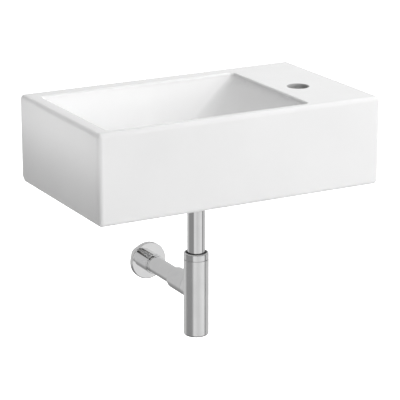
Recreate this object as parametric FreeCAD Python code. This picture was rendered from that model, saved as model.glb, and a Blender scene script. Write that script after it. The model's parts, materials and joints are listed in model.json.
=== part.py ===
import FreeCAD, Part
import math
import os

# Wall hung basin with a tap ledge, its waste and its bottle trap, in millimetres.
# X runs along the wall, to the right for someone facing it, and is 0 at the middle of the basin.
# Y is 0 on the wall and negative towards the room. Z is up, and 0 at the two wall bolts.

# ---- driving dimensions -------------------------------------------------------------------

# ceramic body
basin_width = 550.0
basin_depth = 320.0
basin_height = 160.0
edge_radius = 8.0
rear_foot_radius = 14.0  # the lower rear edge is rounder than the others
skirt_wall = 12.0
back_wall = 14.0
ledge_thickness = 15.0
hollow_radius = 9.0

# bowl
left_rim = 26.5
back_rim = 36.0
front_rim = 20.0
tap_ledge = 137.0
bowl_depth = 112.0
bowl_wall = 11.0
lip_depth = 6.0  # upright band of the bowl's wall below the rim
left_slope = 35.0  # degrees from level
right_slope = 46.0  # degrees from level
end_draft = 10.0  # degrees from upright, on the back and front walls
rim_corner_radius = 8.0
floor_corner_radius = 34.0
floor_bend_radius = 24.0
lip_bend_radius = 5.0
rim_edge_radius = 4.0
bowl_wall_shares = (0.2, 0.35, 0.5, 0.65)  # of the depth, where the walls are drawn
floor_bend_turns = (80, 65, 50, 40, 30, 20, 10, 0)  # degrees still to turn, where the bend is drawn

# tap hole
tap_hole_radius = 17.5
tap_hole_from_right = 87.5
tap_hole_from_wall = 184.5
tap_hole_lip = 4.0

# waste hole
waste_from_left = 250.0
waste_from_wall = 193.0
waste_hole_radius = 23.0
dish_radius = 44.0
dish_fall = 3.0
waste_recess_depth = 2.5
waste_recess_play = 1.0  # round the flange
waste_boss_depth = 14.0
waste_boss_radius = 42.0

# wall fixings
fixing_spacing = 280.0
fixing_height = 40.0  # above the lower edge of the basin
bolt_radius = 5.0
bolt_bevel = 1.0
bolt_stand_out = 34.0
bolt_in_wall = 58.0
bolt_plain_in_wall = 7.0
bolt_screw_radius = 4.6
bolt_tip = 8.0
bolt_point_radius = 1.0
plug_radius = 7.0
plug_length = 65.0
plug_slit = 2.0
plug_slit_length = 30.0
fixing_hole_radius = 8.0
sleeve_flange_radius = 13.0
sleeve_flange_thickness = 3.0
sleeve_short = 1.0  # the sleeve ends this far inside the back face
fixing_washer_radius = 12.0
fixing_washer_thickness = 2.5
fixing_nut_flats = 17.0
fixing_nut_height = 8.0

# waste fitting
waste_thread_radius = 20.95
waste_bore_radius = 18.5
waste_length = 52.0
flange_radius = 32.0
flange_thickness = 2.6
flange_dish = 1.6
flange_bevel = 0.8
flange_edge_land = 1.0
flange_throat = 1.2
upper_seal_thickness = 1.5
upper_seal_radius = 31.0
lower_seal_thickness = 5.0
lower_seal_radius = 31.0
lower_seal_bevel = 1.0
slip_washer_thickness = 1.5
slip_washer_radius = 30.0
back_nut_flats = 54.0
back_nut_height = 9.0
web_drop = 36.0
web_thickness = 5.0
web_spoke = 3.5
web_spokes = 3
hub_radius = 8.0

# click plug
plug_cap_radius = 31.5
plug_cap_edge = 2.0
plug_cap_crown = 3.0
plug_cap_bevel = 0.6
plug_cap_lift = 1.0  # the closed cap's underside stands this far above the flange
plug_ring_width = 3.5
plug_ring_inner = 21.0
plug_travel = 8.0
stem_radius = 4.0
stem_bevel = 0.6
stem_guided = 3.0  # of the stem still in its guide when the plug is up
cartridge_radius = 6.5
cartridge_length = 28.0
cartridge_guide = 6.0
cartridge_room_radius = 5.6
cartridge_base = 2.0
cartridge_bevel = 1.0
spigot_length = 5.0
spring_wire = 0.9
spring_radius = 4.3
spring_turns = 5
spring_turn_runs = 12

# inlet tube and its nut
tube_radius = 16.0
tube_wall = 1.0
tube_flange = 1.6
inlet_gasket_thickness = 2.0
inlet_nut_radius = 23.8
inlet_nut_grip = 15.0  # how far the nut climbs on the waste thread
inlet_nut_web = 2.4
inlet_nut_bevel = 1.0
grip_flutes = 12
grip_flute_radius = 1.4
grip_flute_depth = 0.85
grip_flute_short = 3.0  # the flutes end this far from the nut's ends
dip_above_bottom = 27.0

# bottle trap
collar_top_drop = 116.5  # below the lower edge of the basin
collar_height = 11.5
collar_radius = 22.6
collar_web = 3.0
collar_rounding = 2.0
collar_groove = 1.4
bottle_radius = 22.6
bottle_length = 142.4
bottle_wall = 2.0
bottle_foot_rounding = 3.0
neck_radius = 19.0
neck_height = 5.6
neck_base = 5.0
neck_taper = 2.0
slip_ring_thickness = 0.8

# cleaning cap in the bottom of the bottle
cap_radius = 17.2
cap_height = 7.0
cap_recess = 1.0
cap_bevel = 0.5
cap_seat_height = 8.5
cap_groove_depth = 1.8
cap_groove_width = 2.0
cap_groove_up = 3.6
cap_slot_width = 3.0
cap_slot_depth = 2.5
cap_slot_length = 26.0

# outlet arm
arm_drop = 188.0  # below the lower edge of the basin
arm_past_wall = 35.0
arm_end_bevel = 0.5
arm_mark_depth = 0.3  # a rolled line round the arm shows how far it goes into the wall
arm_mark_width = 1.5
saddle_reach = 23.5
boss_radius = 17.6
boss_reach = 48.0
boss_bore_radius = 13.2
boss_seat = 28.0
outlet_nut_radius = 20.3
outlet_nut_reach = 77.0
outlet_nut_rounding = 2.5
outlet_seal_thickness = 5.7
outlet_seal_width = 2.9
thread_relief = 1.0

# wall rosette
rosette_radius = 35.25
rosette_height = 8.5
rosette_wall = 1.2
rosette_rounding = 1.6
rosette_end_bevel = 0.6
rosette_sleeve_radius = 18.5
rosette_reach = 32.0
rosette_ring_width = 2.5
rosette_ring_back = 5.0
rosette_ring_cover = 1.0  # of the sleeve's wall left over its ring

# clearances
running = 0.05  # radial, shaft in hole and thread in thread
slip = 0.3  # radial, parts that pass each other loosely
seat = 0.3  # between faces of parts that move apart

# ---- places worked out from them ------------------------------------------------------------

left_face = -basin_width / 2
right_face = basin_width / 2
lower_edge = -fixing_height
rim_level = basin_height - fixing_height
lip_level = rim_level - lip_depth
floor_level = rim_level - bowl_depth
bowl_left = left_face + left_rim
bowl_right = right_face - tap_ledge
bowl_front = -basin_depth + front_rim
bowl_back = -back_rim
seat_level = floor_level - dish_fall - waste_recess_depth
boss_level = seat_level - waste_boss_depth
waste_x = left_face + waste_from_left
waste_y = -waste_from_wall
flange_level = seat_level + upper_seal_thickness
flange_top = flange_level + flange_thickness
cap_under = flange_top + plug_cap_lift
waste_end = flange_level - waste_length
web_level = seat_level - web_drop
cartridge_top = web_level + cartridge_length
stem_end = cartridge_top - stem_guided - plug_travel
nut_on_waste = boss_level - lower_seal_thickness - slip_washer_thickness
tube_top = waste_end - inlet_gasket_thickness
collar_top = lower_edge - collar_top_drop
bottle_top = collar_top - collar_height - collar_groove
bottle_end = bottle_top - bottle_length
neck_top = bottle_top + neck_height
chamber_radius = bottle_radius - bottle_wall
tube_end = bottle_end + dip_above_bottom
arm_level = lower_edge - arm_drop
cap_end = bottle_end + cap_recess
tap_x = right_face - tap_hole_from_right
tap_y = -tap_hole_from_wall
seal_outer = tube_radius + outlet_seal_width


def vec(x, y, z):
    return FreeCAD.Vector(x, y, z)


# ---- helpers ------------------------------------------------------------------------------


def turned(profile):
    """A solid of revolution about Z from (radius, height) points."""
    points = [vec(r, 0, h) for r, h in profile]
    face = Part.Face(Part.makePolygon(points + [points[0]]))
    return face.revolve(vec(0, 0, 0), vec(0, 0, 1), 360)


def ring(outer, inner, low, high):
    return turned([(inner, low), (outer, low), (outer, high), (inner, high)])


def upright(shape):
    """Puts a shape drawn about Z onto the axis of the waste and the bottle."""
    return shape.translated(vec(waste_x, waste_y, 0))


def along_arm(shape):
    """Puts a shape drawn about Z onto the arm: its height runs from the bottle's axis to the wall."""
    turned_shape = shape.rotated(vec(0, 0, 0), vec(1, 0, 0), -90)
    return turned_shape.translated(vec(waste_x, waste_y, arm_level))


def at_fixings(shape):
    """One copy at each wall bolt of a shape drawn about Z, with its height run towards the wall."""
    laid = shape.rotated(vec(0, 0, 0), vec(1, 0, 0), -90)
    places = [-fixing_spacing / 2, fixing_spacing / 2]
    return Part.makeCompound([laid.translated(vec(x, 0, 0)) for x in places])


def rounded_edges(shape, radius, wanted):
    """Fillets the edges whose bounding box passes the test."""
    edges = [edge for edge in shape.Edges if wanted(edge.BoundBox)]
    return shape.makeFillet(radius, edges)


def bevelled_edges(shape, size, wanted):
    edges = [edge for edge in shape.Edges if wanted(edge.BoundBox)]
    return shape.makeChamfer(size, edges)


def level_edge(height, radius):
    """A test for the round edge of that radius about Z at that height."""

    def wanted(box):
        flat = abs(box.ZMin - height) < 0.01 and abs(box.ZMax - height) < 0.01
        return flat and abs(box.XMax - radius) < 0.02

    return wanted


def hexagon(flats, low, high):
    corner = flats / math.sqrt(3)
    points = []
    for step in range(7):
        turn = math.radians(60 * step)
        points.append(vec(corner * math.cos(turn), corner * math.sin(turn), low))
    return Part.Face(Part.makePolygon(points)).extrude(vec(0, 0, high - low))


def hex_nut(flats, bore, low, high):
    """A hexagon with its corners turned off at both ends."""
    corner = flats / math.sqrt(3)
    fall = (corner - flats / 2) * math.tan(math.radians(30)) + 0.2
    barrel = turned(
        [
            (bore, low),
            (flats / 2, low),
            (corner, low + fall),
            (corner, high - fall),
            (flats / 2, high),
            (bore, high),
        ]
    )
    return hexagon(flats, low, high).common(barrel)


def rounded_rectangle(x0, x1, y0, y1, radius, level):
    """A closed outline of four straight sides and four quarter arcs."""
    slant = radius * (1 - math.sqrt(0.5))
    corners = [
        (x1, y0, -1, 1),
        (x1, y1, -1, -1),
        (x0, y1, 1, -1),
        (x0, y0, 1, 1),
    ]
    edges = []
    last = None
    for index, (x, y, dx, dy) in enumerate(corners):
        along_x = vec(x + dx * radius, y, level)
        along_y = vec(x, y + dy * radius, level)
        middle = vec(x + dx * slant, y + dy * slant, level)
        start, end = (along_x, along_y) if index % 2 == 0 else (along_y, along_x)
        if last is not None:
            edges.append(Part.makeLine(last, start))
        edges.append(Part.Arc(start, middle, end).toShape())
        last = end
    edges.append(Part.makeLine(last, edges[0].Vertexes[0].Point))
    return Part.Wire(edges)


# ---- ceramic body -------------------------------------------------------------------------


def wall_run(depth, slope):
    """How far a bowl wall of that slope has come in at a depth below the lip, bends included."""
    lean = math.radians(slope)
    full = lip_level - floor_level
    lip = lip_bend_radius * math.tan((math.pi / 2 - lean) / 2)
    foot = floor_bend_radius * math.tan(lean / 2)
    if depth < lip * math.sin(lean):
        drop = max(depth + lip, 0)
        return lip_bend_radius - math.sqrt(lip_bend_radius**2 - drop**2)
    if depth > full - foot * math.sin(lean):
        rise = depth - full + floor_bend_radius
        reach = full / math.tan(lean) + foot
        return reach - math.sqrt(max(floor_bend_radius**2 - rise**2, 0))
    return depth / math.tan(lean)


def bowl_outline(depth):
    """The outline of the bowl's space; its corners grow rounder towards the floor."""
    share = min(max(depth / (lip_level - floor_level), 0), 1)
    radius = rim_corner_radius + (floor_corner_radius - rim_corner_radius) * share
    end_run = wall_run(depth, 90 - end_draft)
    return rounded_rectangle(
        bowl_left + wall_run(depth, left_slope),
        bowl_right - wall_run(depth, right_slope),
        bowl_front + end_run,
        bowl_back - end_run,
        radius,
        lip_level - depth,
    )


def bowl_space():
    """The open space of the bowl: an upright lip over walls that bend into the floor."""
    full = lip_level - floor_level
    start = -lip_depth / 2
    depths = [start, start / 2, 0, lip_depth / 4, lip_depth / 2]
    depths += [full * share for share in bowl_wall_shares]
    for turn in floor_bend_turns:
        depths.append(full - floor_bend_radius * (1 - math.cos(math.radians(turn))))
    walls = Part.makeLoft([bowl_outline(depth) for depth in depths], True, False)
    lip = Part.Face(bowl_outline(start)).extrude(vec(0, 0, 2 * lip_depth))
    return lip.fuse(walls)


def shell_outline(level):
    """The bowl's outline moved outwards by the thickness of its walls, square to each."""
    fall = max(lip_level - level, 0)
    left = math.radians(left_slope)
    right = math.radians(right_slope)
    draft = math.radians(end_draft)
    share = fall / (lip_level - floor_level + bowl_wall)
    radius = rim_corner_radius + (floor_corner_radius - rim_corner_radius) * share
    return rounded_rectangle(
        bowl_left + fall / math.tan(left) - bowl_wall / math.sin(left),
        bowl_right - fall / math.tan(right) + bowl_wall / math.sin(right),
        bowl_front + fall * math.tan(draft) - bowl_wall / math.cos(draft),
        bowl_back - fall * math.tan(draft) + bowl_wall / math.cos(draft),
        radius + bowl_wall,
        level,
    )


def bowl_shell():
    """The bowl as it is seen from below, filled."""
    upper = shell_outline(lip_level)
    lip = Part.Face(upper).extrude(vec(0, 0, 2 * lip_depth))
    walls = Part.makeLoft([shell_outline(floor_level - bowl_wall), upper], True, True)
    return lip.fuse(walls).removeSplitter()


def outer_block():
    """The plain block of the basin with its rounded edges."""
    block = Part.makeBox(
        basin_width,
        basin_depth,
        basin_height,
        vec(left_face, -basin_depth, lower_edge),
    )

    def rear_foot(box):
        return box.ZMax < lower_edge + 0.01 and box.YMin > -0.01

    def sharp(box):
        """Every edge but the two long lines where the rear foot's rounding runs out."""
        whole = box.XLength > basin_width - 0.01
        low = box.ZMax < lower_edge + rear_foot_radius + 0.01
        behind = box.YMin > -rear_foot_radius - 0.01
        return not (whole and low and behind)

    block = rounded_edges(block, rear_foot_radius, rear_foot)
    return rounded_edges(block, edge_radius, sharp)


def underside_hollow():
    """The open space under the ledge and round the bowl."""
    hollow = Part.makeBox(
        basin_width - 2 * skirt_wall,
        basin_depth - skirt_wall - back_wall,
        basin_height - ledge_thickness + hollow_radius,
        vec(left_face + skirt_wall, -basin_depth + skirt_wall, lower_edge - hollow_radius),
    )

    def closed_end(box):
        return box.ZMax > lower_edge

    return rounded_edges(hollow, hollow_radius, closed_end)


def waste_boss():
    return upright(
        Part.makeCylinder(waste_boss_radius, floor_level - boss_level, vec(0, 0, boss_level))
    )


def waste_opening():
    """The dish that falls to the waste, the recess for its flange and the hole below."""
    recess_radius = flange_radius + waste_recess_play
    dish_level = floor_level - dish_fall
    return upright(
        turned(
            [
                (0, boss_level - 1),
                (waste_hole_radius, boss_level - 1),
                (waste_hole_radius, seat_level),
                (recess_radius, seat_level),
                (recess_radius, dish_level),
                (dish_radius, floor_level),
                (dish_radius, floor_level + 1),
                (0, floor_level + 1),
            ]
        )
    )


def tap_hole():
    return Part.makeCylinder(
        tap_hole_radius,
        3 * ledge_thickness,
        vec(tap_x, tap_y, rim_level - 2 * ledge_thickness),
    )


def fixing_holes():
    hole = Part.makeCylinder(fixing_hole_radius, 3 * back_wall, vec(0, 0, -2 * back_wall))
    return at_fixings(hole)


def make_ceramic_basin():
    hollow = underside_hollow()
    hollow = hollow.cut(bowl_shell())
    hollow = hollow.cut(waste_boss())
    body = outer_block().cut(hollow)
    body = body.cut(bowl_space())
    body = body.cut(waste_opening())
    body = body.cut(fixing_holes())
    body = body.cut(tap_hole())

    def bowl_edge(box):
        on_top = abs(box.ZMin - rim_level) < 0.01 and abs(box.ZMax - rim_level) < 0.01
        across = box.XMin > bowl_left - 1 and box.XMax < bowl_right + 1
        deep = box.YMin > bowl_front - 1 and box.YMax < bowl_back + 1
        return on_top and across and deep

    body = rounded_edges(body, rim_edge_radius, bowl_edge)

    def tap_edge(box):
        on_top = abs(box.ZMin - rim_level) < 0.01 and abs(box.ZMax - rim_level) < 0.01
        return on_top and abs(box.XMax - tap_x - tap_hole_radius) < 0.05

    return rounded_edges(body, tap_hole_lip, tap_edge)


# ---- wall fixings: drawn about Z, height 0 on the wall, positive into it ---------------------


def make_wall_plugs():
    plug = ring(plug_radius, bolt_radius + running, 0, plug_length)
    for turn in (0, 90):
        slit = Part.makeBox(
            4 * plug_radius,
            plug_slit,
            plug_slit_length,
            vec(-2 * plug_radius, -plug_slit / 2, plug_length - plug_slit_length),
        )
        plug = plug.cut(slit.rotated(vec(0, 0, 0), vec(0, 0, 1), turn))
    return at_fixings(plug)


def make_hanger_bolts():
    bevel = bolt_bevel
    end = bolt_plain_in_wall
    return at_fixings(
        turned(
            [
                (0, -bolt_stand_out),
                (bolt_radius - bevel, -bolt_stand_out),
                (bolt_radius, -bolt_stand_out + bevel),
                (bolt_radius, end),
                (bolt_screw_radius, end + bevel),
                (bolt_screw_radius, bolt_in_wall - bolt_tip),
                (bolt_point_radius, bolt_in_wall),
                (0, bolt_in_wall),
            ]
        )
    )


def make_fixing_sleeves():
    bore = bolt_radius + slip
    outer = fixing_hole_radius - slip
    return at_fixings(
        turned(
            [
                (bore, -back_wall - sleeve_flange_thickness),
                (sleeve_flange_radius, -back_wall - sleeve_flange_thickness),
                (sleeve_flange_radius, -back_wall),
                (outer, -back_wall),
                (outer, -sleeve_short),
                (bore, -sleeve_short),
            ]
        )
    )


def washer_level():
    return -back_wall - sleeve_flange_thickness - fixing_washer_thickness


def make_fixing_washers():
    low = washer_level()
    washer = ring(fixing_washer_radius, bolt_radius + slip, low, low + fixing_washer_thickness)
    return at_fixings(washer)


def make_fixing_nuts():
    high = washer_level()
    return at_fixings(
        hex_nut(fixing_nut_flats, bolt_radius + running, high - fixing_nut_height, high)
    )


# ---- waste fitting: drawn about Z -----------------------------------------------------------


def make_waste_upper_seal():
    return upright(
        ring(upper_seal_radius, waste_hole_radius + slip, seat_level, flange_level)
    )


def make_waste_body():
    """Dished flange, threaded tail and, inside it, a spoked web with a hub for the plug's latch."""
    bevel = flange_bevel
    edge = flange_radius
    body = turned(
        [
            (waste_bore_radius, waste_end),
            (waste_thread_radius, waste_end),
            (waste_thread_radius, flange_level),
            (edge, flange_level),
            (edge, flange_top - bevel),
            (edge - bevel, flange_top),
            (edge - bevel - flange_edge_land, flange_top),
            (waste_thread_radius, flange_top - flange_dish),
            (waste_bore_radius, flange_top - flange_dish - flange_throat),
        ]
    )
    low = web_level - web_thickness
    hub = Part.makeCylinder(hub_radius, web_thickness, vec(0, 0, low))
    for step in range(web_spokes):
        spoke = Part.makeBox(
            (waste_bore_radius + waste_thread_radius) / 2,
            web_spoke,
            web_thickness,
            vec(0, -web_spoke / 2, low),
        )
        hub = hub.fuse(spoke.rotated(vec(0, 0, 0), vec(0, 0, 1), 360 / web_spokes * step))
    bore = Part.makeCylinder(
        stem_radius + running,
        3 * web_thickness,
        vec(0, 0, low - web_thickness),
    )
    hub = hub.cut(bore)
    return upright(body.fuse(hub).removeSplitter())


def make_plug_cap():
    """A disc with a low domed top, part of a sphere centred on the stem's axis."""
    top = cap_under + plug_cap_edge
    ease = plug_cap_bevel
    rim = plug_cap_radius - ease
    sphere = (rim**2 + plug_cap_crown**2) / (2 * plug_cap_crown)
    middle = math.sqrt(sphere**2 - (rim / 2) ** 2) - sphere + plug_cap_crown
    corners = [
        vec(0, 0, cap_under),
        vec(rim, 0, cap_under),
        vec(plug_cap_radius, 0, cap_under + ease),
        vec(plug_cap_radius, 0, top - ease),
        vec(rim, 0, top),
    ]
    crown = vec(0, 0, top + plug_cap_crown)
    edges = [Part.makeLine(start, end) for start, end in zip(corners, corners[1:])]
    edges.append(Part.Arc(corners[-1], vec(rim / 2, 0, top + middle), crown).toShape())
    edges.append(Part.makeLine(crown, corners[0]))
    face = Part.Face(Part.Wire(edges))
    return upright(face.revolve(vec(0, 0, 0), vec(0, 0, 1), 360))


def make_plug_seal():
    outer = plug_ring_inner + plug_ring_width
    return upright(ring(outer, plug_ring_inner, flange_top + seat, cap_under))


def make_plug_stem():
    length = cap_under - stem_end
    stem = Part.makeCylinder(stem_radius, length, vec(0, 0, stem_end))
    return upright(bevelled_edges(stem, stem_bevel, level_edge(stem_end, stem_radius)))


def make_latch_cartridge():
    """A barrel that guides the stem, with room for the spring and a spigot into the hub."""
    guide = stem_radius + running
    bevel = cartridge_bevel
    return upright(
        turned(
            [
                (0, web_level - spigot_length),
                (stem_radius, web_level - spigot_length),
                (stem_radius, web_level),
                (cartridge_radius, web_level),
                (cartridge_radius, cartridge_top - bevel),
                (cartridge_radius - bevel, cartridge_top),
                (guide, cartridge_top),
                (guide, cartridge_top - cartridge_guide),
                (cartridge_room_radius, cartridge_top - cartridge_guide),
                (cartridge_room_radius, web_level + cartridge_base),
                (0, web_level + cartridge_base),
            ]
        )
    )


def make_latch_spring():
    """Wire wound between the foot of the barrel and the end of the stem, in short straight runs."""
    low = web_level + cartridge_base + spring_wire / 2 + running
    high = stem_end - spring_wire / 2 - running
    runs = spring_turns * spring_turn_runs
    points = []
    for step in range(runs + 1):
        turn = math.radians(360 / spring_turn_runs * step)
        level = low + (high - low) * step / runs
        points.append(vec(spring_radius * math.cos(turn), spring_radius * math.sin(turn), level))
    section = Part.makeCircle(spring_wire / 2, points[0], points[1] - points[0])
    path = Part.makePolygon(points)
    mitred = 1
    return upright(path.makePipeShell([Part.Wire(section)], True, False, mitred))


def make_waste_lower_seal():
    inner = waste_thread_radius + slip
    bevel = lower_seal_bevel
    low = boss_level - lower_seal_thickness
    return upright(
        turned(
            [
                (inner, low),
                (lower_seal_radius, low),
                (lower_seal_radius, boss_level - bevel),
                (lower_seal_radius - bevel, boss_level),
                (inner, boss_level),
            ]
        )
    )


def make_waste_slip_washer():
    high = boss_level - lower_seal_thickness
    return upright(
        ring(slip_washer_radius, waste_thread_radius + slip, high - slip_washer_thickness, high)
    )


def make_waste_back_nut():
    low = nut_on_waste - back_nut_height
    return upright(hex_nut(back_nut_flats, waste_thread_radius + running, low, nut_on_waste))


# ---- inlet tube -----------------------------------------------------------------------------


def make_inlet_gasket():
    outer = waste_thread_radius - slip
    return upright(ring(outer, tube_radius - tube_wall, tube_top, waste_end))


def make_inlet_tube():
    """A plain tube with a flange that hangs in the inlet nut; its lower end dips into the bottle."""
    flange = waste_thread_radius - slip
    bore = tube_radius - tube_wall
    return upright(
        turned(
            [
                (bore, tube_end),
                (tube_radius, tube_end),
                (tube_radius, tube_top - tube_flange),
                (flange, tube_top - tube_flange),
                (flange, tube_top),
                (bore, tube_top),
            ]
        )
    )


def make_inlet_nut():
    """A round nut with grip flutes that draws the tube's flange up against the waste."""
    ledge = tube_top - tube_flange
    low = ledge - inlet_nut_web
    high = waste_end + inlet_nut_grip
    bevel = inlet_nut_bevel
    nut = turned(
        [
            (tube_radius + slip, low),
            (inlet_nut_radius - bevel, low),
            (inlet_nut_radius, low + bevel),
            (inlet_nut_radius, high - bevel),
            (inlet_nut_radius - bevel, high),
            (waste_thread_radius + running, high),
            (waste_thread_radius + running, ledge),
            (tube_radius + slip, ledge),
        ]
    )
    reach = inlet_nut_radius + grip_flute_radius - grip_flute_depth
    for step in range(grip_flutes):
        turn = math.radians(360 / grip_flutes * step)
        flute = Part.makeCylinder(
            grip_flute_radius,
            high - low - 2 * grip_flute_short,
            vec(reach * math.cos(turn), reach * math.sin(turn), low + grip_flute_short),
        )
        nut = nut.cut(flute)
    return upright(nut)


# ---- bottle trap ------------------------------------------------------------------------------


def make_collar_nut():
    low = collar_top - collar_height
    nut = turned(
        [
            (tube_radius + slip, collar_top - collar_web),
            (neck_radius + running, collar_top - collar_web),
            (neck_radius + running, low),
            (collar_radius, low),
            (collar_radius, collar_top),
            (tube_radius + slip, collar_top),
        ]
    )
    return upright(rounded_edges(nut, collar_rounding, level_edge(collar_top, collar_radius)))


def make_collar_slip_ring():
    high = collar_top - collar_web
    return upright(
        ring(neck_radius - slip, tube_radius + slip, high - slip_ring_thickness, high)
    )


def make_collar_seal():
    """A rubber ring squeezed between the neck of the bottle and the slip ring."""
    high = collar_top - collar_web - slip_ring_thickness
    return upright(ring(neck_radius - slip, tube_radius, neck_top, high))


def make_trap_bottle():
    """Threaded neck, long cup with an open seat for the cleaning cap, and an outlet to the side."""
    bore = tube_radius + slip
    shell = turned(
        [
            (bore, neck_top),
            (bore, bottle_top - neck_base),
            (chamber_radius, bottle_top - neck_base - neck_taper),
            (chamber_radius, bottle_end + cap_seat_height),
            (cap_radius + running, bottle_end + cap_seat_height),
            (cap_radius + running, bottle_end),
            (bottle_radius, bottle_end),
            (bottle_radius, bottle_top),
            (neck_radius, bottle_top),
            (neck_radius, neck_top),
        ]
    )
    shell = rounded_edges(shell, bottle_foot_rounding, level_edge(bottle_end, bottle_radius))
    shell = upright(shell)
    core = upright(
        Part.makeCylinder(chamber_radius, bottle_length, vec(0, 0, bottle_end))
    )
    spout = Part.makeCylinder(outlet_nut_radius, saddle_reach)
    spout = spout.fuse(Part.makeCylinder(boss_radius, boss_reach))
    spout = along_arm(spout).cut(core)
    way = Part.makeCylinder(boss_bore_radius, boss_reach)
    way = way.fuse(
        Part.makeCylinder(tube_radius + running, boss_reach, vec(0, 0, boss_seat))
    )
    behind = Part.makeBox(
        4 * bottle_radius,
        2 * bottle_radius,
        4 * bottle_radius,
        vec(waste_x - 2 * bottle_radius, waste_y - 2 * bottle_radius, arm_level - 2 * bottle_radius),
    )
    way = along_arm(way).cut(behind)
    return shell.fuse(spout).cut(way).removeSplitter()


def make_cleaning_cap():
    """A short threaded plug with a ring groove round it and a coin slot across its foot."""
    groove = cap_radius - cap_groove_depth
    bevel = cap_bevel
    cap = turned(
        [
            (0, cap_end),
            (cap_radius - bevel, cap_end),
            (cap_radius, cap_end + bevel),
            (cap_radius, cap_end + cap_groove_up),
            (groove, cap_end + cap_groove_up),
            (groove, cap_end + cap_groove_up + cap_groove_width),
            (cap_radius, cap_end + cap_groove_up + cap_groove_width),
            (cap_radius, cap_end + cap_height - bevel),
            (cap_radius - bevel, cap_end + cap_height),
            (0, cap_end + cap_height),
        ]
    )
    slot = Part.makeBox(
        cap_slot_length,
        cap_slot_width,
        2 * cap_slot_depth,
        vec(-cap_slot_length / 2, -cap_slot_width / 2, cap_end - cap_slot_depth),
    )
    return upright(cap.cut(slot))


def make_cleaning_seal():
    low = cap_end + cap_groove_up + running
    high = cap_end + cap_groove_up + cap_groove_width - running
    return upright(ring(cap_radius, cap_radius - cap_groove_depth + running, low, high))


# ---- outlet arm: drawn about Z, height 0 on the bottle's axis, towards the wall ----------------


def make_outlet_seal():
    return along_arm(
        ring(seal_outer, tube_radius, boss_reach, boss_reach + outlet_seal_thickness)
    )


def make_outlet_slip_ring():
    low = boss_reach + outlet_seal_thickness
    return along_arm(ring(seal_outer, tube_radius + slip, low, low + slip_ring_thickness))


def make_outlet_nut():
    room_end = boss_reach + outlet_seal_thickness + slip_ring_thickness
    near = saddle_reach + slip
    thread = boss_radius + running
    nut = turned(
        [
            (thread, near),
            (outlet_nut_radius, near),
            (outlet_nut_radius, outlet_nut_reach),
            (tube_radius + slip, outlet_nut_reach),
            (tube_radius + slip, room_end),
            (seal_outer + running, room_end),
            (seal_outer + running, boss_reach - thread_relief),
            (thread, boss_reach - 2 * thread_relief),
        ]
    )
    nut = rounded_edges(nut, outlet_nut_rounding, level_edge(outlet_nut_reach, outlet_nut_radius))
    return along_arm(nut)


def make_wall_arm():
    """A plain tube that ends inside the wall."""
    bore = tube_radius - tube_wall
    mark = tube_radius - arm_mark_depth
    wall = waste_from_wall
    end = wall + arm_past_wall
    return along_arm(
        turned(
            [
                (bore, boss_seat + seat),
                (tube_radius, boss_seat + seat),
                (tube_radius, wall - arm_mark_width),
                (mark, wall - arm_mark_width),
                (mark, wall),
                (tube_radius, wall),
                (tube_radius, end - arm_end_bevel),
                (tube_radius - arm_end_bevel, end),
                (bore, end),
            ]
        )
    )


# ---- wall rosette -------------------------------------------------------------------------------


def make_rosette():
    """A shallow cup against the wall with a sleeve that runs out along the arm."""
    wall = waste_from_wall
    face = wall - rosette_height
    end = wall - rosette_reach
    inner = tube_radius + slip
    shell = turned(
        [
            (inner, end),
            (rosette_sleeve_radius, end),
            (rosette_sleeve_radius, face),
            (rosette_radius, face),
            (rosette_radius, wall),
            (rosette_radius - rosette_wall, wall),
            (rosette_radius - rosette_wall, face + rosette_wall),
            (inner, face + rosette_wall),
        ]
    )
    shell = rounded_edges(shell, rosette_rounding, level_edge(face, rosette_radius))
    shell = bevelled_edges(shell, rosette_end_bevel, level_edge(end, rosette_sleeve_radius))
    groove_low = end + rosette_ring_back
    groove = ring(
        rosette_sleeve_radius - rosette_ring_cover,
        tube_radius,
        groove_low,
        groove_low + rosette_ring_width,
    )
    return along_arm(shell.cut(groove))


def make_rosette_ring():
    outer = rosette_sleeve_radius - rosette_ring_cover
    low = waste_from_wall - rosette_reach + rosette_ring_back
    return along_arm(ring(outer, tube_radius + running, low, low + rosette_ring_width))


# ---- all parts ------------------------------------------------------------------------------------

parts = {
    "ceramic_basin": make_ceramic_basin,
    "wall_plugs": make_wall_plugs,
    "hanger_bolts": make_hanger_bolts,
    "fixing_sleeves": make_fixing_sleeves,
    "fixing_washers": make_fixing_washers,
    "fixing_nuts": make_fixing_nuts,
    "waste_upper_seal": make_waste_upper_seal,
    "waste_body": make_waste_body,
    "plug_cap": make_plug_cap,
    "plug_seal": make_plug_seal,
    "plug_stem": make_plug_stem,
    "latch_cartridge": make_latch_cartridge,
    "latch_spring": make_latch_spring,
    "waste_lower_seal": make_waste_lower_seal,
    "waste_slip_washer": make_waste_slip_washer,
    "waste_back_nut": make_waste_back_nut,
    "inlet_gasket": make_inlet_gasket,
    "inlet_nut": make_inlet_nut,
    "inlet_tube": make_inlet_tube,
    "collar_nut": make_collar_nut,
    "collar_slip_ring": make_collar_slip_ring,
    "collar_seal": make_collar_seal,
    "trap_bottle": make_trap_bottle,
    "cleaning_cap": make_cleaning_cap,
    "cleaning_seal": make_cleaning_seal,
    "outlet_nut": make_outlet_nut,
    "outlet_slip_ring": make_outlet_slip_ring,
    "outlet_seal": make_outlet_seal,
    "wall_arm": make_wall_arm,
    "rosette": make_rosette,
    "rosette_ring": make_rosette_ring,
}

os.makedirs("parts", exist_ok=True)
for name, make in parts.items():
    shape = make()
    solids = shape.Solids
    ok = shape.isValid()
    print(f"{name}: {len(solids)} solid(s), {shape.Volume / 1000:.2f} cm3, valid {ok}")
    shape.exportStep(f"parts/{name}.step")
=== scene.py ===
import json
import math

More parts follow.
